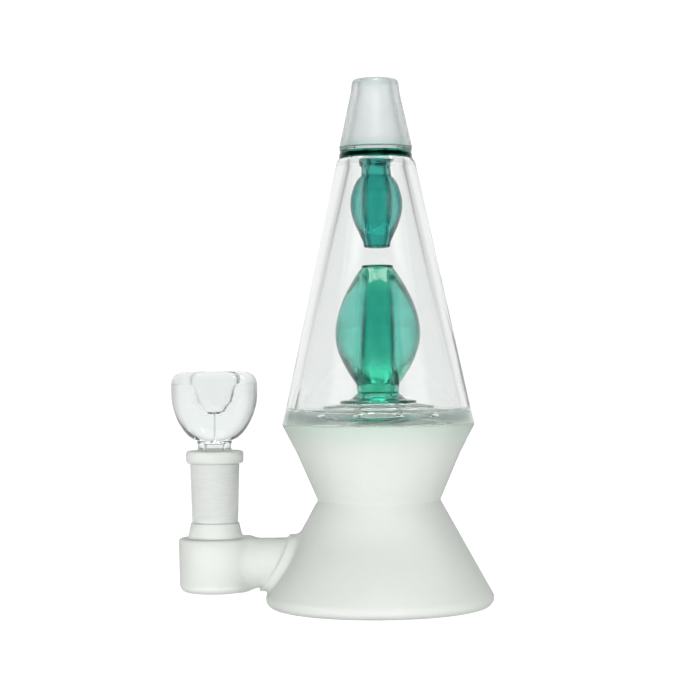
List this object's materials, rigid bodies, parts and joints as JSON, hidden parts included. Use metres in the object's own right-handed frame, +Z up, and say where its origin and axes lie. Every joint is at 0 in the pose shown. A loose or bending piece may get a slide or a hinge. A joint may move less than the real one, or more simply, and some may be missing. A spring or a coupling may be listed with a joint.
{
  "type": "glass water pipe",
  "caption": "Frosted hourglass base, clear conical chamber with teal blown blobs, frosted mouthpiece, and a lift-off clear bowl on a side joint.",
  "frame": {"origin": "main axis of the pipe, on the surface that it stands on", "axes": "+Z up along the main axis; the side arm and the bowl lie along -X; +Y is away from the front"},
  "size_m": [0.1151, 0.0816, 0.1888],
  "materials": {
    "frosted_glass": "sandblasted, pale grey-green",
    "clear_glass": "fire polished, clear",
    "teal_glass": "fire polished, teal all through",
    "deep_teal_glass": "fire polished, dark teal",
    "ground_glass": "ground with fine grit"
  },
  "bodies": {
    "vessel": {"base_floor": "frosted_glass", "base_skirt": "frosted_glass", "base_cone": "frosted_glass", "deck_plate": "clear_glass", "foot_ring": "clear_glass", "lower_blob": "teal_glass", "chamber": "clear_glass", "neck_weld": "teal_glass", "upper_blob": "teal_glass", "upper_disc": "deep_teal_glass", "seal_ring": "clear_glass", "mouthpiece": "frosted_glass", "mouth_lip": "frosted_glass", "inline_stem": "frosted_glass", "arm_weld": "frosted_glass", "side_arm": "frosted_glass", "side_pot": "frosted_glass", "pot_floor": "frosted_glass", "joint_foot": "frosted_glass", "joint_socket": "ground_glass", "joint_bead": "clear_glass"},
    "bowl_piece": {"bowl": "clear_glass", "bowl_neck": "clear_glass", "bowl_joint": "ground_glass"}
  },
  "joints": [
    {"name": "bowl_lift", "type": "slide", "parent": "vessel", "child": "bowl_piece", "axis": [0, 0, 1], "range_m": [0, 0.06]}
  ]
}
